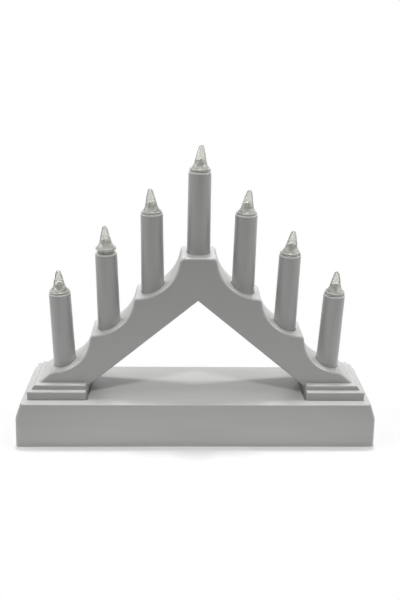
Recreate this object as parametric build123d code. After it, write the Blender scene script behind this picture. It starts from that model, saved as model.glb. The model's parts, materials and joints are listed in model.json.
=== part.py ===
from build123d import *
import math
import os

# Candle arch: seven battery-lit candles stand on the ledges of a moulded arch.
# The feet of the arch sit in pockets of a hollow base, which holds the cells and the switch.
# X runs along the base, Y points away from the viewer and Z is up.
# The origin is the middle of the underside, and every length is in millimetres.

# General
overrun = 4.0                # how far a cut runs past what it cuts
fit_gap = 0.15               # clearance round pieces that plug together
edge_round = 0.5             # softened edges of the mouldings
lower_end = (Align.CENTER, Align.CENTER, Align.MIN)

# Base shell
base_length = 220.0
base_depth = 46.6
base_height = 30.0
base_wall = 2.0
knee_height = 19.8           # where each upright end starts to lean in
end_draft = 1.4              # lean of each end up to the knee
end_bevel = 3.8              # further lean from the knee to the top
face_draft = 0.5             # lean of the front and of the back
knee_radius = 8.0
base_corner_radius = 2.2
base_rim_radius = 0.3

# Stepped feet of the arch, and the pockets that hold them
pocket_depth = 2.0
pocket_base = 2.0            # thickness under a pocket
pocket_gap = 1.5             # visible gap at the inner end of each foot
foot_length = 34.9
foot_end_setback = 8.7       # from the end of the base to the end of a foot
foot_side_setback = 5.7      # from the side of the base to the side of a foot
lower_step_height = 5.4
upper_step_height = 3.0
side_tread = 2.9
end_tread = 2.2
upper_step_lean = 2.0
foot_floor = 1.8

# Arch, with heights above the top of the base
arch_depth = 23.0
arch_wall = 1.8
cover_thickness = 2.0
arch_edge_radius = 1.3
peak_rise = 62.2             # where the two inner edges meet
heel_rise = 5.0              # where an inner edge meets the inner end of its foot
ledge_rises = (88.6, 63.8, 40.1, 15.35)
lip_slopes = (0.0, 4.0, 4.0, 7.0)            # degrees, of each ledge near its corner
corner_radii = (3.2, 2.4, 2.4, 8.0)
top_ledge_half = 10.0
short_run = 1.65             # how much shorter the lowest ledge's run is than the others
wall_slope = 80.0            # degrees, under the corner of the ledge above
scallop_share = 0.98         # share of the shorter straight that the scallop's arc takes up
leg_toe = 6.0                # from the end of a foot to where the leg meets the foot's top

# Candle tubes
candle_setbacks = (10.0, 9.9, 9.9, 6.5)      # from the corner of each ledge to its candle
socket_depths = (6.3, 5.0, 5.0, 4.85)
tube_length = 52.4
tube_foot_radius = 6.76
tube_rim_radius = 6.25
tube_bore_radius = 4.9
tube_edge_radius = 0.9
socket_wall = 1.4
socket_floor = 1.6
wire_hole_radius = 2.5

# Flame caps, with heights above the rim of the tube
cap_height = 13.4
cap_plug_length = 4.0
cap_flange_radius = 5.5
cap_flange_height = 1.3
cap_flange_round = 0.6
cap_neck_radius = 3.25
cap_neck_height = 4.8
cap_flare_sag = 0.2          # how hollow the flare from flange to neck is
cap_spire_bulge = 0.1
cap_tip_radius = 1.45
cap_lifts = (0.0, 2.3, 0.0, 0.5, 0.0, 0.4, 0.6)     # how far each cap stands out of its tube

# Light-emitting diodes inside the caps
led_radius = 1.5
led_top = 6.6                # above the rim
led_length = 5.3
led_flange_radius = 1.9
led_flange_height = 1.0
lead_width = 0.5
lead_spacing = 2.54
lead_length = 9.0

# Screws
screw_head_radius = 2.8
screw_head_height = 1.5
screw_shank_radius = 1.2
foot_screw_length = 9.0
base_screw_length = 12.0
arch_screw_length = 12.0
boss_radius = 3.0
foot_screw_insets = (6.6, 10.3)              # from the inner and the outer end of a foot
foot_screw_offset = 5.5
base_screw_end_inset = 9.8
base_screw_side_inset = 6.8

# Bottom plate and battery bay
plate_lift = 0.6             # the shell's rim stands this much lower than the plate
plate_thickness = 2.0
bay_wall = 1.4
cell_radius = 7.25
cell_length = 50.5
cell_nub_radius = 2.75
cell_nub_height = 1.2
cell_gap = 0.7               # between the two cells
cell_play = 0.35             # between a cell and the walls of the bay
contact_thickness = 0.4
contact_nub_height = 1.0
contact_nub_radius = 1.6
contact_width = 12.0
contact_play = 0.1
spring_length = 4.5
spring_radius = 3.4
spring_wire = 0.6
spring_turns = 3
tab_length = 4.0
tab_width = 3.0
tab_height = 12.0            # height of the solder tabs above the table

# Battery door
door_thickness = 1.8
door_gap = 0.3
barrel_radius = 1.4
pin_radius = 0.8
pin_gap = 0.12
pin_length = 1.6
lug_thickness = 3.0
tongue_width = 8.0
tongue_thickness = 1.0
tongue_height = 1.4
notch_width = 12.0
notch_length = 3.0
notch_depth = 1.2
grip_count = 4
grip_pitch = 2.2
grip_width = 0.9
grip_depth = 0.4
grip_length = 18.0

# Slide switch and its board
switch_end_inset = 39.8
switch_height = 14.0
switch_travel = 4.0
switch_body_length = 12.0
switch_body_height = 6.0
switch_body_depth = 5.2
knob_length = 3.4
knob_height = 3.4
knob_stem_length = 2.2
knob_stem_height = 2.0
knob_stem_depth = 2.4
knob_gap = 0.25
window_margin = 1.6          # finger recess round the slot
window_depth = 1.0
board_length = 26.0
board_headroom = 4.95        # from the board's upper edge to the inside of the base's top
board_thickness = 1.6
board_groove = 1.2
channel_wall = 1.6
resistor_radius = 1.1
resistor_length = 6.3
resistor_lead_radius = 0.3
resistor_lead_run = 1.5
resistor_offset = 6.0        # from the middle of the board
resistor_height = 9.0

# Wires
wire_radius = 0.55
loom_radius = 1.2
loom_lift = 3.2              # from the inner wall of a leg to the middle of its loom
loom_hole_radius = 3.4       # of the holes through the feet and the top of the base
loom_gap = 0.3               # between a loom and the screw bosses of the arch
loom_end = 3.0               # distance of each loom's upper end from the middle
loom_bend_share = 0.6        # share of the shorter straight that a bend's radius takes
left_loom_offset = 10.0      # from the middle of the board
battery_wire_offsets = (5.5, 1.5)
wire_bend_share = 0.8

# Sizes that follow
pocket_floor = base_height - pocket_depth
foot_outer = base_length / 2 - foot_end_setback
foot_inner = foot_outer - foot_length
lower_step_half = base_depth / 2 - foot_side_setback
upper_step_half = lower_step_half - side_tread
lower_step_top = base_height + lower_step_height
upper_step_top = lower_step_top + upper_step_height
upper_step_outer = foot_outer - end_tread
leg_outer = foot_outer - leg_toe
peak_height = base_height + peak_rise
inner_slope = math.atan((peak_rise - heel_rise) / foot_inner)
ledge_heights = [base_height + rise for rise in ledge_rises]
last_ledge = len(ledge_heights) - 1
lowest_corner = leg_outer - (ledge_heights[last_ledge] - upper_step_top) / math.tan(inner_slope)
ledge_run = (lowest_corner + short_run - top_ledge_half) / last_ledge
rear_face = base_depth / 2 - face_draft * switch_height / base_height
rear_inner = rear_face - base_wall
cover_front = arch_depth / 2 - cover_thickness
plate_top = plate_lift + plate_thickness
cell_pitch = 2 * cell_radius + cell_gap
cell_bottom = plate_lift + door_thickness + door_gap
cell_middle = cell_bottom + cell_radius
bay_top = cell_middle + cell_radius + contact_play
bay_half_width = cell_pitch / 2 + cell_radius + cell_play
bay_half_length = (cell_length + spring_length + contact_nub_height) / 2 + contact_thickness + contact_play
contact_back = bay_half_length - contact_play
contact_face = contact_back - contact_thickness
hinge_height = plate_lift + barrel_radius
end_wall_bottom = hinge_height + barrel_radius + door_gap
hinge_edge = -bay_half_length - bay_wall - door_gap
hinge_place = hinge_edge + door_gap + barrel_radius
latch_edge = bay_half_length + door_gap
switch_front = rear_inner - fit_gap
board_face = switch_front - switch_body_depth
board_front = board_face - board_thickness
board_bottom = plate_top + fit_gap
board_top = base_height - base_wall - board_headroom
switch_place = base_length / 2 - switch_end_inset
left_loom_height = (bay_top + bay_wall + pocket_floor - pocket_base) / 2


def block(left, right, front, back, bottom, top):
    """A box between six faces."""
    middle = Pos((left + right) / 2, (front + back) / 2, (bottom + top) / 2)
    return middle * Box(right - left, back - front, top - bottom)


def post(x, y, bottom, top, radius):
    """An upright cylinder."""
    return Pos(x, y, bottom) * Cylinder(radius, top - bottom, align=lower_end)


def bar(x, z, front, back, radius):
    """A round bar that runs from front to back."""
    return Pos(x, front, z) * Rot(-90, 0, 0) * Cylinder(radius, back - front, align=lower_end)


def rounded_corner(before, corner, after, radius):
    """Start, middle and end of the arc that rounds a corner."""
    into = (corner - before).normalized()
    out = (after - corner).normalized()
    turn = math.radians(into.get_angle(out))
    cut = radius * math.tan(turn / 2)
    depth = radius / math.cos(turn / 2) - radius
    return corner - into * cut, corner + (out - into).normalized() * depth, corner + out * cut


def outline(corners):
    """A closed outline from corners given as across, up and radius."""
    points = [Vector(across, up) for across, up, radius in corners]
    edges = []
    ends = []
    for index, (across, up, radius) in enumerate(corners):
        before, corner, after = points[index - 1], points[index], points[(index + 1) % len(points)]
        if radius > 0:
            start, middle, end = rounded_corner(before, corner, after, radius)
            edges.append(ThreePointArc(start, middle, end))
        else:
            start, end = corner, corner
        ends.append((start, end))
    for index, (start, end) in enumerate(ends):
        edges.append(Line(ends[index - 1][1], start))
    return make_face(edges)


def front_solid(sketch, front, back):
    """An outline of the front view, made solid between two depths."""
    return Pos(0, back, 0) * extrude(Plane.XZ * sketch, amount=back - front)


def both_sides(shape):
    """A shape together with its mirror image on the other side of the middle."""
    return shape + mirror(shape, about=Plane.YZ)


def turned(corners):
    """A solid of revolution from corners given as radius, height and rounding."""
    return revolve(Plane.XZ * outline(corners), Axis.Z)


def inner_edge_height(x):
    """Height of the arch's inner edge at a distance from the middle."""
    return peak_height - x * math.tan(inner_slope)


def ledge_corner(level):
    """Where the ledge of one level would end if its corner were sharp."""
    if level < last_ledge:
        return top_ledge_half + level * ledge_run, ledge_heights[level]
    return lowest_corner, ledge_heights[level]


# Places that repeat on both sides
candle_places = [ledge_corner(level)[0] - candle_setbacks[level] for level in range(last_ledge + 1)]
socket_bottoms = [height - depth for height, depth in zip(ledge_heights, socket_depths)]
tube_places = sorted({side * place for place in candle_places for side in (-1, 1)})
loom_place = candle_places[last_ledge]
foot_screw_places = ((foot_inner + foot_screw_insets[0], -foot_screw_offset),
                     (foot_outer - foot_screw_insets[1], foot_screw_offset))
base_screw_side = base_depth / 2 - base_screw_side_inset
base_screw_places = [(base_length / 2 - base_screw_end_inset, side * base_screw_side) for side in (-1, 1)]
arch_screw_lift = (arch_wall + loom_lift + loom_radius + loom_gap + boss_radius) / math.cos(inner_slope)
arch_screw_places = [(ledge_corner(level)[0], inner_edge_height(ledge_corner(level)[0]) + arch_screw_lift)
                     for level in range(last_ledge)]


def screw(length, countersunk):
    """One screw with its head at the bottom and its shank pointing up."""
    if countersunk:
        head = Cone(screw_head_radius, screw_shank_radius, screw_head_height, align=lower_end)
    else:
        head = Cylinder(screw_head_radius, screw_head_height, align=lower_end)
        head = fillet(head.faces().sort_by(Axis.Z)[0].edges(), edge_round)
    return head + post(0, 0, 0, length, screw_shank_radius)


def wire(route, bends, radius):
    """A round wire along straight runs joined by arcs."""
    path = FilletPolyline(*route, radius=bends)
    return sweep(Plane(origin=path @ 0, z_dir=path % 0) * Circle(radius), path=path)


# Base shell
def base_form(inset):
    """The outer form of the base, with every side moved in by the same amount."""
    half_length = base_length / 2 - inset
    half_depth = base_depth / 2 - inset
    knee = half_length - end_draft
    shoulder = knee - end_bevel
    front_view = outline((
        (-half_length, 0, 0), (half_length, 0, 0),
        (knee, knee_height, knee_radius), (shoulder, base_height, 0),
        (-shoulder, base_height, 0), (-knee, knee_height, knee_radius),
    ))
    top_half = half_depth - face_draft
    end_view = outline((
        (-half_depth, 0, 0), (half_depth, 0, 0), (top_half, base_height, 0), (-top_half, base_height, 0),
    ))
    return front_solid(front_view, -base_depth, base_depth) & extrude(
        Plane.YZ * end_view, amount=base_length, both=True)


def rounded_base():
    """The outer form of the base with its corners and edges rounded."""
    form = base_form(0)
    boxes = [(edge, edge.bounding_box().size) for edge in form.edges()]
    corners = [edge for edge, size in boxes if size.Z > edge_round and size.Y < base_depth / 2]
    form = fillet(corners, base_corner_radius)
    form = fillet(form.faces().sort_by(Axis.Z)[-1].edges(), edge_round)
    return fillet(form.faces().sort_by(Axis.Z)[0].edges(), base_rim_radius)


def foot_pocket():
    """The pocket for the right foot."""
    half = lower_step_half + fit_gap
    return block(foot_inner - pocket_gap, foot_outer + fit_gap, -half, half,
                 pocket_floor, base_height + overrun)


def pocket_pad():
    """The thick place under the right pocket."""
    half = lower_step_half + base_wall
    return block(foot_inner - pocket_gap - base_wall, foot_outer + base_wall, -half, half,
                 pocket_floor - pocket_base, base_height)


def board_channels():
    """Two upright ribs on the rear wall that hold the ends of the board."""
    channels = Part()
    for side in (-1, 1):
        end = switch_place + side * (board_length / 2 + fit_gap)
        near, far = sorted((end - side * board_groove, end + side * channel_wall))
        groove_near, groove_far = sorted((end - side * (board_groove + overrun), end))
        rib = block(near, far, board_front - channel_wall, base_depth / 2, plate_top + fit_gap, base_height)
        groove = block(groove_near, groove_far, board_front - fit_gap, board_face + fit_gap, 0, base_height)
        channels += rib - groove
    return channels


def switch_window():
    """The finger recess and the slot for the switch's knob, through the rear wall."""
    middle = switch_place + switch_travel / 2
    half = (switch_travel + knob_length) / 2 + knob_gap
    height = knob_height / 2 + knob_gap
    recess = front_solid(
        Pos(middle, switch_height) * RectangleRounded(
            2 * (half + window_margin), 2 * (height + window_margin), window_margin),
        rear_face - window_depth, rear_face + overrun)
    slot = block(middle - half, middle + half, rear_inner - overrun / 2, rear_face,
                 switch_height - height, switch_height + height)
    return recess + slot


def base_shell():
    ceiling = base_height - base_wall
    room = base_form(base_wall) & block(-base_length, base_length, -base_depth, base_depth, 0, ceiling)
    room -= both_sides(pocket_pad())
    room -= board_channels()
    for x, y in base_screw_places:
        room -= both_sides(post(x, y, plate_top, base_height, boss_radius))
    shell = rounded_base() - room - both_sides(foot_pocket()) - switch_window()
    for x, y in foot_screw_places:
        shell -= both_sides(post(x, y, ceiling - overrun, base_height, screw_shank_radius + fit_gap))
    for x, y in base_screw_places:
        shell -= both_sides(post(x, y, 0, plate_lift + base_screw_length + fit_gap, screw_shank_radius))
    return shell - both_sides(post(loom_place, 0, ceiling - overrun, base_height, loom_hole_radius))


# Bottom plate with the battery bay
def base_bottom():
    plate = base_form(base_wall + fit_gap) & block(
        -base_length, base_length, -base_depth, base_depth, plate_lift, plate_top)
    bay = block(-bay_half_length - bay_wall, bay_half_length + bay_wall,
                -bay_half_width - bay_wall, bay_half_width + bay_wall, plate_lift, bay_top + bay_wall)
    lug_half = bay_half_width + lug_thickness
    lugs = block(hinge_edge - bay_wall, hinge_place + lug_thickness, -lug_half, lug_half,
                 plate_lift, end_wall_bottom + edge_round)
    room = block(-bay_half_length, bay_half_length, -bay_half_width, bay_half_width, 0, bay_top)
    doorway = block(hinge_edge, latch_edge, -bay_half_width, bay_half_width, 0, end_wall_bottom)
    pin_half = bay_half_width - door_gap + pin_length + pin_gap
    pin_holes = bar(hinge_place, hinge_height, -pin_half, pin_half, pin_radius + pin_gap)
    notch = block(latch_edge, latch_edge + notch_length, -notch_width / 2, notch_width / 2,
                  0, plate_lift + notch_depth)
    part = plate + bay + lugs - room - doorway - pin_holes - notch
    for side in (-1, 1):
        y = side * cell_pitch / 2
        half_width = tab_width / 2 + fit_gap
        half_height = contact_thickness / 2 + fit_gap
        part -= block(bay_half_length - bay_wall, bay_half_length + 2 * bay_wall,
                      y - half_width, y + half_width, tab_height - half_height, tab_height + half_height)
    for x, y in base_screw_places:
        hole = post(x, y, 0, plate_top, screw_shank_radius + fit_gap)
        sink = Pos(x, y, plate_lift) * Cone(screw_head_radius + fit_gap, screw_shank_radius + fit_gap,
                                            screw_head_height, align=lower_end)
        part -= both_sides(hole + sink)
    return part


def battery_door():
    half_width = bay_half_width - door_gap
    free_end = latch_edge - door_gap
    panel = block(hinge_place, free_end, -half_width, half_width, plate_lift, plate_lift + door_thickness)
    barrel = bar(hinge_place, hinge_height, -half_width, half_width, barrel_radius)
    pins = bar(hinge_place, hinge_height, -half_width - pin_length, half_width + pin_length, pin_radius)
    panel_top = plate_lift + door_thickness
    tongue_end = free_end - door_gap
    tongue = block(tongue_end - tongue_thickness, tongue_end, -tongue_width / 2, tongue_width / 2,
                   panel_top - door_gap, panel_top + tongue_height)
    door = panel + barrel + pins + tongue
    for index in range(grip_count):
        x = free_end - (index + 1) * grip_pitch
        door -= block(x - grip_width, x, -grip_length / 2, grip_length / 2, 0, plate_lift + grip_depth)
    return door


# Cells and contacts
def cell(side):
    """One cell; the cell in front points its nub to the left and the other one to the right."""
    body = Cylinder(cell_radius, cell_length - cell_nub_height, align=lower_end)
    body = fillet(body.edges().filter_by(GeomType.CIRCLE), edge_round)
    nub = Cylinder(cell_nub_radius, cell_length, align=lower_end)
    spring_end = contact_face - spring_length
    return Pos(-side * spring_end, side * cell_pitch / 2, cell_middle) * Rot(0, side * 90, 0) * (body + nub)


def contact_plate(side, front, back):
    """A flat contact at one end of the bay."""
    near, far = sorted((side * contact_face, side * contact_back))
    return block(near, far, front, back, end_wall_bottom + fit_gap, bay_top - contact_play)


def contact_spring(side, y):
    """The coil that presses on the flat end of a cell."""
    pitch = (spring_length - spring_wire) / spring_turns
    path = Helix(pitch, spring_length - spring_wire, spring_radius)
    section = Plane(origin=path @ 0, z_dir=path % 0) * Rectangle(spring_wire, spring_wire)
    coil = sweep(section, path=path, is_frenet=True)
    return Pos(side * (contact_face - spring_wire / 4), y, cell_middle) * Rot(0, -side * 90, 0) * coil


def contact_nub(side, y):
    """The raised button that meets the nub of a cell."""
    nub = Cylinder(contact_nub_radius, contact_nub_height, align=lower_end)
    return Pos(side * contact_face, y, cell_middle) * Rot(0, -side * 90, 0) * nub


def contact_bridge():
    half = bay_half_width - contact_play
    plate = contact_plate(-1, -half, half)
    return plate + contact_nub(-1, -cell_pitch / 2) + contact_spring(-1, cell_pitch / 2)


def end_contact(y):
    """A contact with its solder tab; it still lacks its nub or coil."""
    plate = contact_plate(1, y - contact_width / 2, y + contact_width / 2)
    tab = block(contact_back - contact_thickness, bay_half_length + bay_wall + tab_length,
                y - tab_width / 2, y + tab_width / 2,
                tab_height - contact_thickness / 2, tab_height + contact_thickness / 2)
    return plate + tab


def contact_positive():
    return end_contact(cell_pitch / 2) + contact_nub(1, cell_pitch / 2)


def contact_negative():
    return end_contact(-cell_pitch / 2) + contact_spring(1, -cell_pitch / 2)


# Switch and board
def switch_body():
    middle = switch_place + switch_travel / 2
    half_length = switch_body_length / 2
    half_height = switch_body_height / 2
    body = block(middle - half_length, middle + half_length, board_face, switch_front,
                 switch_height - half_height, switch_height + half_height)
    slot_half_length = (switch_travel + knob_stem_length) / 2 + knob_gap
    slot_half_height = knob_stem_height / 2 + knob_gap
    slot = block(middle - slot_half_length, middle + slot_half_length,
                 switch_front - knob_stem_depth - knob_gap, switch_front + overrun,
                 switch_height - slot_half_height, switch_height + slot_half_height)
    return body - slot


def switch_knob():
    back = rear_face - fit_gap
    grip = block(switch_place - knob_length / 2, switch_place + knob_length / 2,
                 switch_front + knob_gap, back,
                 switch_height - knob_height / 2, switch_height + knob_height / 2)
    grip = chamfer(grip.faces().sort_by(Axis.Y)[-1].edges(), edge_round)
    stem = block(switch_place - knob_stem_length / 2, switch_place + knob_stem_length / 2,
                 switch_front - knob_stem_depth, back - edge_round,
                 switch_height - knob_stem_height / 2, switch_height + knob_stem_height / 2)
    return grip + stem


def switch_board():
    return block(switch_place - board_length / 2, switch_place + board_length / 2,
                 board_front, board_face, board_bottom, board_top)


def resistor():
    y = board_front - resistor_radius - fit_gap
    turned_along = Pos(switch_place - resistor_offset, y, resistor_height) * Rot(0, 90, 0)
    body = Cylinder(resistor_radius, resistor_length)
    body = fillet(body.edges().filter_by(GeomType.CIRCLE), edge_round)
    half = resistor_length / 2 + resistor_lead_run
    part = turned_along * (body + Cylinder(resistor_lead_radius, 2 * half))
    for side in (-1, 1):
        x = switch_place - resistor_offset + side * half
        part += bar(x, resistor_height, y, board_front, resistor_lead_radius)
        part += Pos(x, y, resistor_height) * Sphere(resistor_lead_radius)
    return part


# Arch
def corner_turn(level):
    """How far the outline turns at the corner of a ledge, in radians."""
    beyond = math.radians(wall_slope) if level < last_ledge else inner_slope
    return beyond - math.radians(lip_slopes[level])


def scallop_root(level):
    """Where the steep wall under one ledge and the slope of the next ledge meet, and the arc's radius."""
    upper_x, upper_z = ledge_corner(level)
    lower_x, lower_z = ledge_corner(level + 1)
    rise = math.tan(math.radians(lip_slopes[level + 1]))
    lean = 1 / math.tan(math.radians(wall_slope))
    fall = upper_z - lower_z
    run = (lower_x - upper_x - fall * lean) / (1 - rise * lean)
    below = run - corner_radii[level + 1] * math.tan(corner_turn(level + 1) / 2)
    above = fall - run * rise - corner_radii[level] * math.tan(corner_turn(level) / 2)
    turn = math.radians(wall_slope - lip_slopes[level + 1])
    return lower_x - run, lower_z + run * rise, scallop_share * min(below, above) / math.tan(turn / 2)


def arch_outline():
    """The front view of the arch, down to the floor of the pockets."""
    right = [(*ledge_corner(0), corner_radii[0])]
    for level in range(last_ledge):
        right.append(scallop_root(level))
        right.append((*ledge_corner(level + 1), corner_radii[level + 1]))
    right += [
        (leg_outer, upper_step_top, 0), (leg_outer, pocket_floor, 0),
        (foot_inner, pocket_floor, 0), (foot_inner, inner_edge_height(foot_inner), 0),
    ]
    left = [(-x, z, radius) for x, z, radius in reversed(right)]
    return outline(right + [(0, peak_height, 0)] + left)


def foot_form(inset, bottom):
    """The two steps of the right foot, with every side moved in by the same amount."""
    inner = foot_inner + inset
    lower = front_solid(
        outline((
            (inner, bottom, 0), (foot_outer - inset, bottom, 0),
            (foot_outer - inset, lower_step_top - inset, 0), (inner, lower_step_top - inset, 0),
        )), -lower_step_half + inset, lower_step_half - inset)
    upper = front_solid(
        outline((
            (inner, bottom, 0), (upper_step_outer - inset, bottom, 0),
            (upper_step_outer - inset, lower_step_top - inset, 0),
            (upper_step_outer - upper_step_lean - inset, upper_step_top - inset, 0),
            (inner, upper_step_top - inset, 0),
        )), -upper_step_half + inset, upper_step_half - inset)
    if inset:
        return lower + upper
    lower = fillet(lower.faces().sort_by(Axis.Z)[-1].edges(), edge_round)
    upper = fillet(upper.faces().sort_by(Axis.Z)[-1].edges(), edge_round)
    return lower + upper


def socket_bottom(place):
    """Height at which the tube of one candle stands."""
    return socket_bottoms[candle_places.index(abs(place))]


def rim_height(place):
    """Height of the rim of one candle's tube."""
    return socket_bottom(place) + tube_length


def whole_arch():
    """Both halves of the arch in one piece."""
    face = arch_outline()
    half = arch_depth / 2
    slab = front_solid(face, -half, half)
    rims = slab.faces().sort_by(Axis.Y)
    body = fillet(rims[0].edges() + rims[-1].edges(), arch_edge_radius)
    body += both_sides(foot_form(0, pocket_floor))
    inside = offset(face, amount=-arch_wall, kind=Kind.INTERSECTION)
    room = front_solid(inside, -half + arch_wall, cover_front)
    room += both_sides(foot_form(arch_wall, pocket_floor + foot_floor))
    for place in tube_places:
        bottom = socket_bottom(place) - socket_floor
        room -= post(place, 0, bottom, rim_height(place), tube_foot_radius + fit_gap + socket_wall)
    for x, z in arch_screw_places:
        room -= both_sides(bar(x, z, -half, cover_front, boss_radius))
    for x, y in foot_screw_places:
        room -= both_sides(post(x, y, 0, upper_step_top - edge_round, boss_radius))
    body -= room
    for place in tube_places:
        bottom = socket_bottom(place)
        body -= post(place, 0, bottom, bottom + tube_length, tube_foot_radius + fit_gap)
        body -= post(place, 0, bottom - socket_floor - overrun / 2, bottom + overrun, wire_hole_radius)
    for x, z in arch_screw_places:
        body -= both_sides(bar(x, z, half - arch_screw_length - fit_gap, half, screw_shank_radius))
        sink = Pos(x, half, z) * Rot(90, 0, 0) * Cone(
            screw_head_radius + fit_gap, screw_shank_radius, screw_head_height + fit_gap, align=lower_end)
        body -= both_sides(sink)
    for x, y in foot_screw_places:
        depth = foot_screw_length - pocket_base + fit_gap
        body -= both_sides(post(x, y, 0, pocket_floor + depth, screw_shank_radius))
    loom_hole_top = pocket_floor + foot_floor + overrun / 2
    return body - both_sides(post(loom_place, 0, 0, loom_hole_top, loom_hole_radius))


def arch_half(body, front, back):
    """The part of the arch between two depths."""
    return body & block(-base_length, base_length, front, back, 0, rim_height(0))


# Candles
def candle_tube(place):
    bottom = socket_bottom(place)
    top = bottom + tube_length
    return Pos(place, 0, 0) * turned((
        (tube_bore_radius, bottom, 0), (tube_foot_radius, bottom, 0),
        (tube_rim_radius, top, tube_edge_radius), (tube_bore_radius, top, 0),
    ))


def cap_flange_bore(shoulder):
    """The lower part of a cap's profile, from the diode's bore to the side of the flange."""
    led_bore = led_radius + fit_gap
    flange_bore = led_flange_radius + fit_gap
    plug_radius = tube_bore_radius - fit_gap
    bore_top = led_top + fit_gap
    return Polyline(
        (0, bore_top), (led_bore, bore_top), (led_bore, shoulder), (flange_bore, shoulder),
        (flange_bore, -cap_plug_length), (plug_radius, -cap_plug_length), (plug_radius, 0),
        (cap_flange_radius, 0), (cap_flange_radius, cap_flange_height - cap_flange_round),
    )


def flame_cap(place, lift):
    """A clear cap: plug, flange, hollow flare and a slightly swelling spire."""
    lower = cap_flange_bore(led_top - led_length + fit_gap)
    flare_start = (cap_flange_radius - cap_flange_round, cap_flange_height)
    neck = (cap_neck_radius, cap_neck_height)
    rounding = RadiusArc(lower @ 1, flare_start, -cap_flange_round)
    flare_middle = ((flare_start[0] + neck[0]) / 2 - cap_flare_sag,
                    (flare_start[1] + neck[1]) / 2 - cap_flare_sag)
    flare = ThreePointArc(flare_start, flare_middle, neck)
    nose_height = cap_height - cap_tip_radius
    lean = math.atan2(cap_neck_radius - cap_tip_radius, nose_height - cap_neck_height)
    nose_start = (cap_tip_radius * math.cos(lean), nose_height + cap_tip_radius * math.sin(lean))
    spire_middle = ((neck[0] + nose_start[0]) / 2 + cap_spire_bulge, (neck[1] + nose_start[1]) / 2)
    spire = ThreePointArc(neck, spire_middle, nose_start)
    half_way = (math.pi / 2 + lean) / 2
    nose_middle = (cap_tip_radius * math.cos(half_way), nose_height + cap_tip_radius * math.sin(half_way))
    nose = ThreePointArc(nose_start, nose_middle, (0, cap_height))
    axis = Line((0, cap_height), (0, led_top + fit_gap))
    profile = make_face(Plane.XZ * (lower + rounding + flare + spire + nose + axis))
    return Pos(place, 0, rim_height(place) + lift) * revolve(profile, Axis.Z)


def led(place):
    """A domed diode with its flange and two leads."""
    rim = rim_height(place)
    bottom = led_top - led_length
    body = turned((
        (0, bottom - led_flange_height, 0), (led_flange_radius, bottom - led_flange_height, 0),
        (led_flange_radius, bottom, 0), (led_radius, bottom, 0),
        (led_radius, led_top, led_radius - fit_gap), (0, led_top, 0),
    ))
    for side in (-1, 1):
        x = side * lead_spacing / 2
        body += block(x - lead_width / 2, x + lead_width / 2, -lead_width / 2, lead_width / 2,
                      -lead_length, bottom - led_flange_height / 2)
    return Pos(place, 0, rim) * body


def loom_height(x):
    """Height of the middle of a loom where it runs down a leg."""
    return inner_edge_height(x) + (arch_wall + loom_lift) / math.cos(inner_slope)


def led_wires(place):
    """The two wires from one diode down to the loom of its leg."""
    rim = rim_height(place)
    reach = abs(place) - lead_spacing / 2 if place else loom_end
    bottom = loom_height(min(reach, loom_place)) + loom_radius / math.cos(inner_slope)
    pair = Part()
    for side in (-1, 1):
        pair += post(place + side * lead_spacing / 2, 0, bottom + wire_radius + fit_gap, rim - lead_length,
                     wire_radius)
    return pair


# Looms and battery wires
def wire_loom_right():
    top = (loom_end, 0, loom_height(loom_end))
    elbow = (loom_place, 0, loom_height(loom_place))
    low = (loom_place, 0, switch_height)
    bend = loom_bend_share * min(loom_height(loom_place) - switch_height, board_front)
    return wire((top, elbow, low, (loom_place, board_front, switch_height)), (bend, bend), loom_radius)


def wire_loom_left():
    top = (-loom_end, 0, loom_height(loom_end))
    elbow = (-loom_place, 0, loom_height(loom_place))
    low = (-loom_place, 0, left_loom_height)
    end = switch_place - left_loom_offset
    bend = loom_bend_share * min(loom_height(loom_place) - left_loom_height, board_front)
    route = (top, elbow, low, (end, 0, left_loom_height), (end, board_front, left_loom_height))
    return wire(route, (bend, bend, bend), loom_radius)


def battery_wires():
    pair = Part()
    start = bay_half_length + bay_wall + tab_length
    for side, offset in zip((1, -1), battery_wire_offsets):
        y = side * cell_pitch / 2
        end = switch_place - offset
        bend = wire_bend_share * min(end - start, board_front - y)
        route = ((start, y, tab_height), (end, y, tab_height), (end, board_front, tab_height))
        pair += wire(route, (bend,), wire_radius)
    return pair


# Screws
def base_screws():
    group = Part()
    for x, y in base_screw_places:
        group += both_sides(Pos(x, y, plate_lift) * screw(base_screw_length, True))
    return group


def foot_screws():
    group = Part()
    bottom = pocket_floor - pocket_base - screw_head_height
    for x, y in foot_screw_places:
        group += both_sides(Pos(x, y, bottom) * screw(foot_screw_length + screw_head_height, False))
    return group


def arch_screws():
    group = Part()
    for x, z in arch_screw_places:
        group += both_sides(Pos(x, arch_depth / 2, z) * Rot(90, 0, 0) * screw(arch_screw_length, True))
    return group


arch = whole_arch()
nodes = {
    "base_shell": base_shell(),
    "base_bottom": base_bottom(),
    "battery_door": battery_door(),
    "battery_1": cell(-1),
    "battery_2": cell(1),
    "contact_bridge": contact_bridge(),
    "contact_positive": contact_positive(),
    "contact_negative": contact_negative(),
    "switch_board": switch_board(),
    "switch_body": switch_body(),
    "switch_knob": switch_knob(),
    "resistor": resistor(),
    "arch_front_shell": arch_half(arch, -base_depth, cover_front),
    "arch_back_cover": arch_half(arch, cover_front, base_depth),
    "wire_loom_left": wire_loom_left(),
    "wire_loom_right": wire_loom_right(),
    "battery_wires": battery_wires(),
    "base_screws": base_screws(),
    "foot_screws": foot_screws(),
    "arch_screws": arch_screws(),
}
for number, place in enumerate(tube_places, start=1):
    nodes[f"candle_tube_{number}"] = candle_tube(place)
    nodes[f"flame_cap_{number}"] = flame_cap(place, cap_lifts[number - 1])
    nodes[f"led_{number}"] = led(place)
    nodes[f"led_wires_{number}"] = led_wires(place)

os.makedirs("parts", exist_ok=True)
for name, solid in nodes.items():
    export_step(solid, f"parts/{name}.step")
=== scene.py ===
import json
import math

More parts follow.
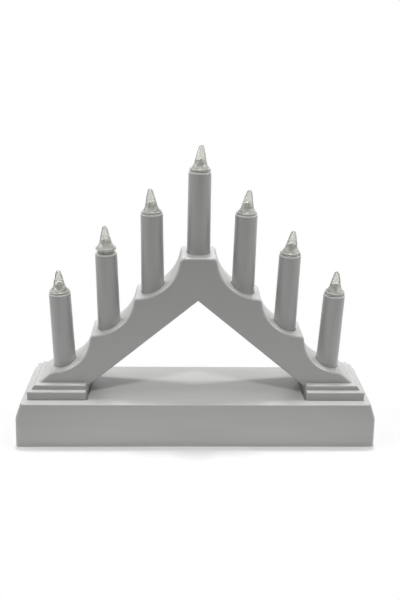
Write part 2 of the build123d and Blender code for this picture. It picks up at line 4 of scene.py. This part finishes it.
import bmesh
import bpy
from mathutils import Matrix, Vector


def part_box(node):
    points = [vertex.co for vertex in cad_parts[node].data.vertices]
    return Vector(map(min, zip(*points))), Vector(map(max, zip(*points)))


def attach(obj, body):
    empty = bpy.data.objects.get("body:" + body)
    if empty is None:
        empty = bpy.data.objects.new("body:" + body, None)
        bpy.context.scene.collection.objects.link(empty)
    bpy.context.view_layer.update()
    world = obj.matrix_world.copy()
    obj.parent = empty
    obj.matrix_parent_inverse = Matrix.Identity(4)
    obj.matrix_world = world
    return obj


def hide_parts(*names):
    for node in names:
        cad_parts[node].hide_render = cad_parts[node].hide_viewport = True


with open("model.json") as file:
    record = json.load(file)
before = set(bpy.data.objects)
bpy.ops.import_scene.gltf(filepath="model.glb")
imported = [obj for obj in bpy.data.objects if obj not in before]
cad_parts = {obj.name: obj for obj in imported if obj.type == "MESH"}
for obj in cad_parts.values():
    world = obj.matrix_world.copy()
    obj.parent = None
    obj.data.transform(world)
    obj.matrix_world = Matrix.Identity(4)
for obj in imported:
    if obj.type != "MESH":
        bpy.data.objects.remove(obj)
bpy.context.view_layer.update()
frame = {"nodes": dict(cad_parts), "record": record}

# Candle arch with seven battery-lit candles. Every length is in metres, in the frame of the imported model.
nodes = frame["nodes"]
candle_numbers = range(1, 8)

# Camera, as solved from the edges of the arch and its base in the photograph
camera_place = Vector((-0.0093, -0.34065, 0.23877))
camera_yaw = math.radians(1.793)
camera_pitch = math.radians(23.83)
camera_roll = math.radians(1.095)
camera_sensor = 36.0         # height of the sensor, in millimetres
focal_share = 1.05095        # focal length over the height of the sensor

# Lamps and soft panels: name, width and depth, place, and power
light_aim = Vector((0.0, 0.0, 0.05))
lamps = (
    ("front_lamp", (0.16, 0.12), (0.0, -0.8, 1.79), 10.6),
    ("rear_lamp", (0.2, 0.16), (0.0, 0.26, 1.76), 13.8),
    ("overhead", (1.0, 1.0), (0.0, 0.0, 0.85), 2.6),
    ("back_panel", (1.3, 0.3), (0.0, 0.9, 0.33), 1.4),
    ("below", (0.2, 0.04), (0.0, 0.0, -0.6), 2.8),
    ("left_panel", (0.4, 0.4), (-0.75, 0.0, 0.5), 2.3),
    ("right_panel", (0.4, 0.4), (0.75, 0.0, 0.5), 2.3),
)

# Floor, with distances from its middle
floor_half = 2.5
floor_pale = (0.8, 0.8, 0.8)         # as it is seen
bounce_near = (0.85, 0.85, 0.85)     # as it throws light back on the object
bounce_far = (0.05, 0.05, 0.05)
bounce_reach = (0.08, 0.3)           # from near to far
fade_reach = (0.115, 0.19)           # where it turns plain white, as it is seen
fade_squash = (1.0, 2.2, 1.0)        # how much sooner it does so along each axis

# Colours, linear
white = (1.0, 1.0, 1.0)
grey = (0.475, 0.477, 0.468)
milky = (0.75, 0.75, 0.71)
lens_tint = (0.95, 0.95, 0.9)
phosphor_yellow = (0.75, 0.6, 0.16)
steel = (0.62, 0.61, 0.58)
black = (0.018, 0.018, 0.019)
board_green = (0.02, 0.1, 0.045)
resistor_beige = (0.55, 0.42, 0.25)
wire_white = (0.6, 0.6, 0.58)
wrap_body = (0.045, 0.06, 0.085)
wrap_band = (0.4, 0.42, 0.44)

# Materials. A patch is the length over which a colour or a gloss changes, and a spread is the share by which
# a colour does. A relief gives the size and the height of the features in each of its layers.
even = (1.0, 1.0, 1.0)
full_range = (0.0, 1.0)
noise_detail = 3.0
noise_span_shares = (0.2, 0.8)       # the part of the noise that is drawn out over the whole range

# Moulded plastic
mould_roughness = (0.34, 0.44)
mould_spread_share = 0.012
mould_patch = 0.02
mould_gloss_patch = 0.008
mould_relief = ((0.018, 0.00006), (0.0009, 0.000003))
mould_index = 1.5
skin_gloss_share = 0.4
skin_roughness = 0.28

# Flow marks in the grey plastic: spread, patch, and how much longer they are along each axis
base_marks = (0.022, 0.0035, (14.0, 1.0, 1.0))
candle_marks = (0.035, 0.0028, (1.0, 1.0, 12.0))

# The other moulded plastics: name, colour, roughness from and to, and spread
plastics = {
    "board": ("board_look", board_green, (0.25, 0.4), 0.08),
    "black_plastic": ("black_plastic_look", black, (0.4, 0.55), 0.1),
    "resistor_body": ("resistor_look", resistor_beige, (0.3, 0.45), 0.05),
    "wire_cover": ("wire_cover_look", wire_white, (0.45, 0.6), 0.03),
    "phosphor": ("phosphor_look", phosphor_yellow, (0.5, 0.7), 0.1),
}

# Plastic of the flame caps, with heights above the underside of the flange
cap_patch = 0.004
cap_spread_share = 0.02
cap_relief = ((0.0022, 0.000006),)
cap_index = 1.49
cap_milk_fade = 0.005        # the plastic is milky up to here
cap_milk_end = 0.0085        # and clear from here up
milky_share = 0.66           # of the light that goes through the plastic
clear_share = 0.82
milky_roughness = 0.34
clear_roughness = 0.12

# Plastic of the diodes
lens_patch = 0.004
lens_spread_share = 0.02
lens_roughness = (0.018, 0.042)
lens_gloss_patch = 0.002
lens_relief = ((0.0022, 0.00003), (0.0006, 0.000002))
lens_index = 1.52

# Plated steel
steel_patch = 0.002
steel_spread_share = 0.06
steel_roughness = (0.24, 0.42)
steel_gloss_patch = 0.0012
steel_relief = ((0.0006, 0.000004),)

# Printed sleeve of a cell, whose colours start at these shares of its length, from the bare flat end
wrap_half_length = 0.0255    # from the middle of the base, across which both cells lie
wrap_start_shares = ((0.07, wrap_body), (0.66, wrap_band), (0.95, steel))
wrap_patch = 0.004
wrap_spread_share = 0.06
wrap_roughness = (0.22, 0.34)
wrap_gloss_patch = 0.003
wrap_relief = ((0.006, 0.00002),)
wrap_metal_share = 0.35

# Fineness of the meshes
sharp_angle = math.radians(35.0)
cap_segments = 64
lens_segments = 48
post_segments = 24
dome_steps = 8
curve_steps = 6
nose_steps = 8

# Flame cap, with heights above the underside of its flange
cap_height = 0.0134
cap_plug_length = 0.004
cap_plug_radius = 0.00475
cap_bore_radius = 0.00205
cap_bore_shoulder = 0.00145
cap_led_bore_radius = 0.00165
cap_led_bore_top = 0.0068
cap_flange_radius = 0.0058
cap_flange_height = 0.0013
cap_flange_round = 0.0008
cap_neck_radius = 0.00325
cap_neck_height = 0.0048
cap_flare_sag = 0.0002
cap_spire_bulge = 0.0001
cap_tip_radius = 0.00145

# Lean of each cap, from the left: sideways travel over rise, as photographed
cap_lean_shares = (0.0, -0.019, -0.056, 0.052, 0.09, 0.075, 0.019)

# Diode: a lens, and two posts inside it that stand on the leads. The left post carries the cup.
lens_radius = 0.0015
lens_flange_radius = 0.0019
lens_flange_height = 0.001
lens_widest_share = 0.98     # of the widest reach, above which a point counts as on the flange
lead_spacing = 0.00254
lead_width = 0.0005
post_spacing_share = 0.5     # of the spacing of the leads
cup_depth = 0.0026           # from the top of the lens to the top of the cup
cup_radius = 0.0006
cup_height = 0.0005
cup_stem_radius = 0.00035
cup_rim_share = 0.8          # inner radius of the rim, of the radius of the cup
cup_floor_share = 0.4        # radius of the floor, of the radius of the cup
cup_dish_share = 0.6         # depth of the dish, of the height of the cup
anode_radius = 0.0003
anode_head_share = 1.5       # radius of its head, of its own radius
anode_flare_share = 0.5      # where its head begins, of the height of the cup
anode_drop_share = 0.3       # how far it ends under the top of the cup, of the height of the cup
phosphor_radius = 0.00052
phosphor_rise = 0.00025
phosphor_depth_share = 0.5   # of the height of the cup

# Screws
head_radius = 0.0028
head_height = 0.0015
head_steps = 16
pan_rise = 0.0004
pan_exponent = 4
shank_radius = 0.0012
thread_depth = 0.00018
thread_pitch = 0.0009
thread_steps = 8             # in each turn
screw_segments = 64
screw_turn = 0.7             # of the thread, in radians from one screw to the next
recess_half_length = 0.0015
recess_half_width = 0.00035
recess_depth = 0.0009
recess_slope = 0.0003
recess_edge_share = 0.5      # of its depth, at its nominal edge
weld_distance = 0.000001


def new_output(tree, kind, output, inputs, **settings):
    """An output of a new node, whose inputs are values or the outputs of other nodes."""
    node = tree.nodes.new(kind)
    for setting, value in settings.items():
        setattr(node, setting, value)
    for name, value in inputs.items():
        if isinstance(value, bpy.types.NodeSocket):
            tree.links.new(value, node.inputs[name])
        else:
            node.inputs[name].default_value = value
    return node.outputs[output]


def calculation(tree, operation, first, second):
    """The result of a calculation with two numbers."""
    return new_output(tree, "ShaderNodeMath", "Value", {0: first, 1: second}, operation=operation)


def vector_calculation(tree, operation, inputs, output="Vector"):
    """The result of a calculation with a place or a colour."""
    return new_output(tree, "ShaderNodeVectorMath", output, inputs, operation=operation)


def new_material(name):
    """A new node material, its node tree and its principled shader."""
    material = bpy.data.materials.new(name)
    material.use_nodes = True
    tree = material.node_tree
    return material, tree, tree.nodes["Principled BSDF"]


def map_range(tree, value, given, wanted, interpolation):
    """A value carried from one range to another, and held at the limits."""
    inputs = {
        "Value": value,
        "From Min": given[0],
        "From Max": given[1],
        "To Min": wanted[0],
        "To Max": wanted[1],
    }
    return new_output(tree, "ShaderNodeMapRange", "Result", inputs, interpolation_type=interpolation)


def noise_value(tree, patch, limits, stretch=even):
    """A value that wanders between two limits, in patches that can be longer along an axis."""
    place = new_output(tree, "ShaderNodeTexCoord", "Object", {})
    stretched = vector_calculation(tree, "DIVIDE", {0: place, 1: stretch})
    inputs = {"Vector": stretched, "Scale": 1.0 / patch, "Detail": noise_detail}
    noise = new_output(tree, "ShaderNodeTexNoise", "Fac", inputs)
    return map_range(tree, noise, noise_span_shares, limits, "SMOOTHERSTEP")


def vary_colour(tree, shader, colour, patch, spread_share, stretch=even):
    """A colour that turns darker and lighter by a small share in soft patches."""
    scale = noise_value(tree, patch, (1.0 - spread_share, 1.0 + spread_share), stretch)
    varied = vector_calculation(tree, "SCALE", {0: colour, "Scale": scale})
    tree.links.new(varied, shader.inputs["Base Color"])


def vary_roughness(tree, shader, limits, patch):
    """A roughness that wanders between two limits."""
    tree.links.new(noise_value(tree, patch, limits), shader.inputs["Roughness"])


def add_bump(tree, shader, relief):
    """Surface relief in several layers."""
    below = {}
    for feature, height in relief:
        inputs = {"Distance": height, "Height": noise_value(tree, feature, full_range), **below}
        below = {"Normal": new_output(tree, "ShaderNodeBump", "Normal", inputs)}
    tree.links.new(below["Normal"], shader.inputs["Normal"])


def moulded_plastic(name, colour, roughness, spread_share, patch=mould_patch, stretch=even):
    """Satin plastic with a fine skin, a slow warp, slightly uneven gloss and faint flow marks."""
    material, tree, shader = new_material(name)
    vary_colour(tree, shader, colour, patch, spread_share, stretch)
    vary_roughness(tree, shader, roughness, mould_gloss_patch)
    add_bump(tree, shader, mould_relief)
    shader.inputs["IOR"].default_value = mould_index
    shader.inputs["Coat Weight"].default_value = skin_gloss_share
    shader.inputs["Coat Roughness"].default_value = skin_roughness
    return material


def lens_plastic(name):
    """Clear plastic with slight waves from the mould."""
    material, tree, shader = new_material(name)
    vary_colour(tree, shader, lens_tint, lens_patch, lens_spread_share)
    vary_roughness(tree, shader, lens_roughness, lens_gloss_patch)
    add_bump(tree, shader, lens_relief)
    shader.inputs["Transmission Weight"].default_value = 1.0
    shader.inputs["IOR"].default_value = lens_index
    return material


def cap_plastic(name):
    """Cast plastic that is milky in the flange and clear in the spire."""
    material, tree, shader = new_material(name)
    vary_colour(tree, shader, milky, cap_patch, cap_spread_share)
    add_bump(tree, shader, cap_relief)
    shader.inputs["IOR"].default_value = cap_index

    whole = cap_plug_length + cap_height
    fade_shares = [(cap_plug_length + height) / whole for height in (cap_milk_fade, cap_milk_end)]
    place = new_output(tree, "ShaderNodeTexCoord", "Generated", {})
    height_share = new_output(tree, "ShaderNodeSeparateXYZ", "Z", {"Vector": place})
    for socket, limits in (
        ("Roughness", (milky_roughness, clear_roughness)),
        ("Transmission Weight", (milky_share, clear_share)),
    ):
        value = map_range(tree, height_share, fade_shares, limits, "SMOOTHSTEP")
        tree.links.new(value, shader.inputs[socket])
    return material


def plated_metal(name):
    """Plated steel with faint drawing marks."""
    material, tree, shader = new_material(name)
    vary_colour(tree, shader, steel, steel_patch, steel_spread_share)
    vary_roughness(tree, shader, steel_roughness, steel_gloss_patch)
    add_bump(tree, shader, steel_relief)
    shader.inputs["Metallic"].default_value = 1.0
    return material


def cell_wrap(name, direction):
    """The printed sleeve of a cell: a pale band towards its nub, dark elsewhere, and bare metal ends."""
    material, tree, shader = new_material(name)
    place = new_output(tree, "ShaderNodeTexCoord", "Object", {})
    x = new_output(tree, "ShaderNodeSeparateXYZ", "X", {"Vector": place})
    along = calculation(tree, "MULTIPLY", x, direction)
    share = map_range(tree, along, (-wrap_half_length, wrap_half_length), full_range, "LINEAR")
    bands = tree.nodes.new("ShaderNodeValToRGB")
    tree.links.new(share, bands.inputs["Fac"])
    ramp = bands.color_ramp
    ramp.interpolation = "CONSTANT"
    ramp.elements.remove(ramp.elements[1])
    ramp.elements[0].color = (*steel, 1.0)
    for start_share, colour in wrap_start_shares:
        ramp.elements.new(start_share).color = (*colour, 1.0)
    vary_colour(tree, shader, bands.outputs["Color"], wrap_patch, wrap_spread_share)
    vary_roughness(tree, shader, wrap_roughness, wrap_gloss_patch)
    add_bump(tree, shader, wrap_relief)
    shader.inputs["Metallic"].default_value = wrap_metal_share
    return material


def seen_rays(tree):
    """One for what is seen directly, in a reflection or through clear plastic, and nought otherwise."""
    path = tree.nodes.new("ShaderNodeLightPath")
    seen = path.outputs["Is Camera Ray"]
    for kind in ("Is Glossy Ray", "Is Transmission Ray"):
        seen = calculation(tree, "MAXIMUM", seen, path.outputs[kind])
    return seen


def mix_colours(tree, share, first, second):
    """A colour between two others."""
    inputs = {"Factor": share, "A": first, "B": second}
    return new_output(tree, "ShaderNodeMix", "Result", inputs, data_type="RGBA")


def floor_material():
    """A pale floor that keeps the shadow near the object, is white farther out and clear from below."""
    material = bpy.data.materials.new("floor")
    material.use_nodes = True
    tree = material.node_tree
    tree.nodes.clear()
    place = new_output(tree, "ShaderNodeTexCoord", "Object", {})
    seen = seen_rays(tree)

    distance = vector_calculation(tree, "LENGTH", {0: place}, "Value")
    bounce_fade = map_range(tree, distance, bounce_reach, full_range, "LINEAR")
    bounce = mix_colours(tree, bounce_fade, (*bounce_near, 1.0), (*bounce_far, 1.0))
    colour = mix_colours(tree, seen, bounce, (*floor_pale, 1.0))
    matt = new_output(tree, "ShaderNodeBsdfDiffuse", "BSDF", {"Color": colour})

    squashed = vector_calculation(tree, "MULTIPLY", {0: place, 1: fade_squash})
    squashed_distance = vector_calculation(tree, "LENGTH", {0: squashed}, "Value")
    fade = map_range(tree, squashed_distance, fade_reach, full_range, "SMOOTHSTEP")
    share = calculation(tree, "MULTIPLY", fade, seen)
    glow = new_output(tree, "ShaderNodeEmission", "Emission", {})
    above = new_output(tree, "ShaderNodeMixShader", "Shader", {"Fac": share, 1: matt, 2: glow})

    from_below = new_output(tree, "ShaderNodeNewGeometry", "Backfacing", {})
    nothing = new_output(tree, "ShaderNodeBsdfTransparent", "BSDF", {})
    surface = new_output(tree, "ShaderNodeMixShader", "Shader", {"Fac": from_below, 1: above, 2: nothing})
    tree.links.new(surface, tree.nodes.new("ShaderNodeOutputMaterial").inputs["Surface"])
    return material


materials = {
    "grey_plastic": moulded_plastic("grey_plastic_look", grey, mould_roughness, mould_spread_share),
    "clear_plastic": cap_plastic("flame_cap_look"),
    "led_lens": lens_plastic("led_lens_look"),
    "plated_steel": plated_metal("plated_steel_look"),
    **{slot: moulded_plastic(*look) for slot, look in plastics.items()},
}
base_plastic = moulded_plastic("base_plastic_look", grey, mould_roughness, *base_marks)
candle_plastic = moulded_plastic("candle_plastic_look", grey, mould_roughness, *candle_marks)
own_looks = {
    "battery_1": cell_wrap("cell_wrap_left", -1.0),
    "battery_2": cell_wrap("cell_wrap_right", 1.0),
    "base_shell": base_plastic,
    "base_bottom": base_plastic,
    "battery_door": base_plastic,
    **{f"candle_tube_{number}": candle_plastic for number in candle_numbers},
}


def dress_nodes():
    """Gives every node of the model its own look, or that of its slot."""
    for part in frame["record"]["subparts"]:
        look = own_looks.get(part["node"]) or materials[part["material_slot"]]
        for material_slot in nodes[part["node"]].material_slots:
            material_slot.material = look


def add_piece(name, mesh_data, look, node_names):
    """A new piece that stands for some nodes, or goes with them where it stands for none."""
    mesh = bpy.data.meshes.new(name)
    mesh_data.to_mesh(mesh)
    mesh_data.free()
    mesh.shade_smooth()
    mesh.set_sharp_from_angle(angle=sharp_angle)
    piece = bpy.data.objects.new(name, mesh)
    bpy.context.scene.collection.objects.link(piece)
    mesh.materials.append(look)
    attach(piece, "arch")
    if node_names:
        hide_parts(*node_names)


def lathe(mesh, profile, centre, segments):
    """Turns a profile of radius and height about an upright axis."""
    rings = []
    for radius, height in profile:
        if radius == 0.0:
            rings.append([mesh.verts.new(centre + Vector((0.0, 0.0, height)))])
            continue
        ring = []
        for index in range(segments):
            angle = 2.0 * math.pi * index / segments
            offset = Vector((radius * math.cos(angle), radius * math.sin(angle), height))
            ring.append(mesh.verts.new(centre + offset))
        rings.append(ring)
    for lower, upper in zip(rings, rings[1:]):
        for index in range(segments):
            after = (index + 1) % segments
            if len(lower) == 1:
                mesh.faces.new((lower[0], upper[after], upper[index]))
            elif len(upper) == 1:
                mesh.faces.new((lower[index], lower[after], upper[0]))
            else:
                mesh.faces.new((lower[index], lower[after], upper[after], upper[index]))


def dome(radius, base_height, top_height):
    """The points of an elliptical dome from its edge to its top."""
    points = []
    for step in range(dome_steps + 1):
        angle = 0.5 * math.pi * step / dome_steps
        height = base_height + (top_height - base_height) * math.sin(angle)
        points.append((radius * math.cos(angle), height))
    points[-1] = (0.0, top_height)
    return points


def curve(start, middle, end):
    """The points of a shallow curve through three points, without its first one."""
    points = []
    for step in range(1, curve_steps + 1):
        share = step / curve_steps
        weights = ((1 - share) * (1 - 2 * share), 4 * share * (1 - share), share * (2 * share - 1))
        radius, height = (sum(weight * value for weight, value in zip(weights, values))
                          for values in zip(start, middle, end))
        points.append((radius, height))
    return points


def upright_box(mesh, left, right, front, back, bottom, top):
    """A box between six faces."""
    outline = ((left, front), (right, front), (right, back), (left, back))
    low = [mesh.verts.new((x, y, bottom)) for x, y in outline]
    high = [mesh.verts.new((x, y, top)) for x, y in outline]
    mesh.faces.new(low[::-1])
    mesh.faces.new(high)
    for index in range(len(outline)):
        after = (index + 1) % len(outline)
        mesh.faces.new((low[index], low[after], high[after], high[index]))


def axis_point(node, height):
    """The point at a height on the upright axis of a node."""
    low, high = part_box(node)
    return Vector(((low[0] + high[0]) / 2, (low[1] + high[1]) / 2, height))


def cap_profile():
    """Radius and height round a cap, from the top of its bore to its tip."""
    flange_edge = (cap_flange_radius, cap_flange_height - cap_flange_round)
    shoulder = (cap_flange_radius - cap_flange_round, cap_flange_height)
    corner_inset = cap_flange_round * (1 - math.sqrt(0.5))
    corner = (cap_flange_radius - corner_inset, cap_flange_height - corner_inset)
    neck = (cap_neck_radius, cap_neck_height)
    flare_middle = tuple((low + high) / 2 - cap_flare_sag for low, high in zip(shoulder, neck))
    nose_height = cap_height - cap_tip_radius
    slope = math.atan2(cap_neck_radius - cap_tip_radius, nose_height - cap_neck_height)
    nose = []
    for step in range(nose_steps + 1):
        angle = slope + (math.pi / 2 - slope) * step / nose_steps
        nose.append((cap_tip_radius * math.cos(angle), nose_height + cap_tip_radius * math.sin(angle)))
    nose[-1] = (0.0, cap_height)
    spire_middle = ((neck[0] + nose[0][0]) / 2 + cap_spire_bulge, (neck[1] + nose[0][1]) / 2)
    bore_end = dome(cap_led_bore_radius, cap_led_bore_top - cap_led_bore_radius, cap_led_bore_top)
    return [
        *bore_end[::-1],
        (cap_led_bore_radius, cap_bore_shoulder),
        (cap_bore_radius, cap_bore_shoulder),
        (cap_bore_radius, -cap_plug_length),
        (cap_plug_radius, -cap_plug_length),
        (cap_plug_radius, 0.0),
        (cap_flange_radius, 0.0),
        flange_edge,
        *curve(flange_edge, corner, shoulder),
        *curve(shoulder, flare_middle, neck),
        *curve(neck, spire_middle, nose[0]),
        *nose[1:],
    ]


def cap_base(number):
    """Height of the underside of a cap's flange."""
    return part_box(f"flame_cap_{number}")[1][2] - cap_height


def lean(mesh, number):
    """Leans what stands above the flange of a cap, as it does in the photograph."""
    base = cap_base(number)
    for vertex in mesh.verts:
        vertex.co.x += cap_lean_shares[number - 1] * max(0.0, vertex.co.z - base)


def flame_cap(number):
    """A flame cap whose flange and spire lean slightly."""
    node = f"flame_cap_{number}"
    mesh = bmesh.new()
    lathe(mesh, cap_profile(), axis_point(node, cap_base(number)), cap_segments)
    lean(mesh, number)
    add_piece(f"flame_cap_leaning_{number}", mesh, materials["clear_plastic"], [node])


def lens_underside(node):
    """Height of the underside of a diode's flange, where its outline is widest."""
    points = [vertex.co for vertex in nodes[node].data.vertices]
    widest = max(abs(point.y) for point in points)
    return min(point.z for point in points if abs(point.y) > lens_widest_share * widest)


def diode(number):
    """A clear lens with the two leads, the cup and the phosphor that show through it."""
    node = f"led_{number}"
    low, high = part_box(node)
    centre = axis_point(node, 0.0)
    bottom = lens_underside(node)
    flange_top = bottom + lens_flange_height
    top = high[2]
    cup_top = top - cup_depth
    cup_bottom = cup_top - cup_height
    post_offset = Vector((lead_spacing * post_spacing_share / 2, 0.0, 0.0))

    lens = bmesh.new()
    lathe(lens, (
        (0.0, bottom),
        (lens_flange_radius, bottom),
        (lens_flange_radius, flange_top),
        (lens_radius, flange_top),
        *dome(lens_radius, top - lens_radius, top),
    ), centre, lens_segments)
    lean(lens, number)
    add_piece(f"led_lens_{number}", lens, materials["led_lens"], [node])

    metal = bmesh.new()
    dish = cup_top - cup_height * cup_dish_share
    lathe(metal, (
        (0.0, bottom),
        (cup_stem_radius, bottom),
        (cup_stem_radius, cup_bottom),
        (cup_radius, cup_bottom),
        (cup_radius, cup_top),
        (cup_radius * cup_rim_share, cup_top),
        (cup_radius * cup_floor_share, dish),
        (0.0, dish),
    ), centre - post_offset, post_segments)
    head = anode_radius * anode_head_share
    head_top = cup_top - cup_height * anode_drop_share
    lathe(metal, (
        (0.0, bottom),
        (anode_radius, bottom),
        (anode_radius, cup_bottom),
        (head, cup_bottom + cup_height * anode_flare_share),
        (head, head_top),
        (0.0, head_top),
    ), centre + post_offset, post_segments)
    half = lead_width / 2
    lead_top = bottom + lens_flange_height / 2
    for side in (-1.0, 1.0):
        x = centre.x + side * lead_spacing / 2
        upright_box(metal, x - half, x + half, -half, half, low[2], lead_top)
    lean(metal, number)
    add_piece(f"led_leads_{number}", metal, materials["plated_steel"], [])

    glow = bmesh.new()
    lathe(glow, (
        (0.0, cup_top - cup_height * phosphor_depth_share),
        *dome(phosphor_radius, cup_top, cup_top + phosphor_rise),
    ), centre - post_offset, post_segments)
    lean(glow, number)
    add_piece(f"led_phosphor_{number}", glow, materials["phosphor"], [])


def recess_at(x, y):
    """How deep a cross-slot head is cut at a place on it."""
    deepest_share = 0.0
    for across, along in ((x, y), (y, x)):
        margin = min(recess_half_width - abs(across), recess_half_length - abs(along))
        deepest_share = max(deepest_share, min(1.0, recess_edge_share + margin / recess_slope))
    return recess_depth * deepest_share


def thread_radius(height, turn_share):
    """Radius of the threaded shank at a height and at a share of a turn."""
    phase_share = (height / thread_pitch - turn_share) % 1.0
    return shank_radius - thread_depth * abs(2.0 * phase_share - 1.0)


def screw_ring(mesh, place, turn, radii, height, slotted=False):
    """A ring of points round a screw. Where it is slotted, the cross slot takes each point deeper."""
    ring = []
    for index, radius in enumerate(radii):
        angle = 2.0 * math.pi * index / screw_segments + turn
        x = radius * math.cos(angle)
        y = radius * math.sin(angle)
        depth = recess_at(x, y) if slotted else 0.0
        ring.append(mesh.verts.new(place @ Vector((x, y, height + depth))))
    return ring


def add_screw(mesh, place, length, countersunk, turn):
    """A screw with a cross-slot head at the origin of its place, its shank along +Z."""
    rings = []
    for step in range(1, head_steps + 1):
        radius = head_radius * step / head_steps
        rise = 0.0 if countersunk else pan_rise * (radius / head_radius) ** pan_exponent
        rings.append(screw_ring(mesh, place, turn, [radius] * screw_segments, rise, slotted=True))
    shoulders = [shank_radius] if countersunk else [head_radius, shank_radius]
    for radius in shoulders:
        rings.append(screw_ring(mesh, place, turn, [radius] * screw_segments, head_height))
    steps = int((length - head_height) / thread_pitch * thread_steps)
    for step in range(1, steps + 1):
        height = head_height + (length - head_height) * step / steps
        radii = [thread_radius(height, index / screw_segments) for index in range(screw_segments)]
        rings.append(screw_ring(mesh, place, turn, radii, height))
    middle = mesh.verts.new(place @ Vector((0.0, 0.0, recess_at(0.0, 0.0))))
    tip = mesh.verts.new(place @ Vector((0.0, 0.0, length)))
    for index in range(screw_segments):
        after = (index + 1) % screw_segments
        mesh.faces.new((middle, rings[0][after], rings[0][index]))
        mesh.faces.new((tip, rings[-1][index], rings[-1][after]))
        for inner, outer in zip(rings, rings[1:]):
            mesh.faces.new((inner[index], inner[after], outer[after], outer[index]))


def loose_parts(node):
    """The points of each loose part of a node."""
    shape = bmesh.new()
    shape.from_mesh(nodes[node].data)
    bmesh.ops.remove_doubles(shape, verts=shape.verts, dist=weld_distance)
    waiting = set(shape.verts)
    parts = []
    while waiting:
        stack = [waiting.pop()]
        part = []
        while stack:
            vertex = stack.pop()
            part.append(vertex.co.copy())
            for edge in vertex.link_edges:
                other = edge.other_vert(vertex)
                if other in waiting:
                    waiting.remove(other)
                    stack.append(other)
        parts.append(part)
    shape.free()
    return parts


def screw_places(node, axis):
    """Where the head of each screw of a node is, and how long the screw is."""
    places = []
    for part in loose_parts(node):
        low = Vector([min(point[side] for point in part) for side in range(3)])
        high = Vector([max(point[side] for point in part) for side in range(3)])
        length = (high - low).dot(Vector([abs(value) for value in axis]))
        places.append(((low + high) / 2 - Vector(axis) * length / 2, length))
    return sorted(places, key=lambda found: tuple(found[0]))


def screw_group(node, axis, countersunk):
    """All the screws of one node, each with its thread turned to its own angle."""
    mesh = bmesh.new()
    facing = Vector(axis).to_track_quat("Z", "Y").to_matrix().to_4x4()
    for index, (place, length) in enumerate(screw_places(node, axis)):
        add_screw(mesh, Matrix.Translation(place) @ facing, length, countersunk, screw_turn * index)
    add_piece(f"{node}_cross_slot", mesh, materials["plated_steel"], [node])


def build_floor():
    """A large plain floor that the object stands on."""
    mesh = bmesh.new()
    corners = [mesh.verts.new((x * floor_half, y * floor_half, 0.0))
               for x, y in ((-1.0, -1.0), (1.0, -1.0), (1.0, 1.0), (-1.0, 1.0))]
    mesh.faces.new(corners)
    data = bpy.data.meshes.new("floor")
    mesh.to_mesh(data)
    mesh.free()
    data.materials.append(floor_material())
    floor = bpy.data.objects.new("floor", data)
    floor.visible_shadow = False    # so that the lamp below reaches the underside of the base
    bpy.context.scene.collection.objects.link(floor)


def area_light(name, size, place, power):
    """A soft rectangular light that points at the object and is not seen by the camera."""
    data = bpy.data.lights.new(name, "AREA")
    data.shape = "RECTANGLE"
    data.size, data.size_y = size
    data.energy = power
    light = bpy.data.objects.new(name, data)
    light.location = place
    light.rotation_euler = (light_aim - Vector(place)).to_track_quat("-Z", "Y").to_euler()
    light.visible_camera = False
    bpy.context.scene.collection.objects.link(light)


def build_light():
    """The lamps and panels, and white surroundings that are seen but give no light of their own."""
    for lamp in lamps:
        area_light(*lamp)
    world = bpy.data.worlds.new("surroundings")
    bpy.context.scene.world = world
    world.use_nodes = True
    tree = world.node_tree
    background = tree.nodes["Background"]
    background.inputs["Color"].default_value = (*white, 1.0)
    tree.links.new(seen_rays(tree), background.inputs["Strength"])


def build_camera():
    """The camera that took the photograph."""
    forward = Vector((math.sin(camera_yaw) * math.cos(camera_pitch),
                      math.cos(camera_yaw) * math.cos(camera_pitch), -math.sin(camera_pitch)))
    level = Vector((math.cos(camera_yaw), -math.sin(camera_yaw), 0.0))
    upright = level.cross(forward)
    right = math.cos(camera_roll) * level + math.sin(camera_roll) * upright
    up = math.cos(camera_roll) * upright - math.sin(camera_roll) * level
    data = bpy.data.cameras.new("camera")
    data.sensor_fit = "VERTICAL"
    data.sensor_height = camera_sensor
    data.lens = camera_sensor * focal_share
    camera = bpy.data.objects.new("camera", data)
    turn = Matrix((right, up, -forward)).transposed().to_4x4()
    camera.matrix_world = Matrix.Translation(camera_place) @ turn
    bpy.context.scene.collection.objects.link(camera)
    bpy.context.scene.camera = camera


dress_nodes()
for number in candle_numbers:
    flame_cap(number)
    diode(number)
screw_group("base_screws", (0.0, 0.0, 1.0), True)
screw_group("foot_screws", (0.0, 0.0, 1.0), False)
screw_group("arch_screws", (0.0, -1.0, 0.0), True)
build_floor()
build_light()
build_camera()
bpy.context.scene.view_settings.view_transform = "Standard"
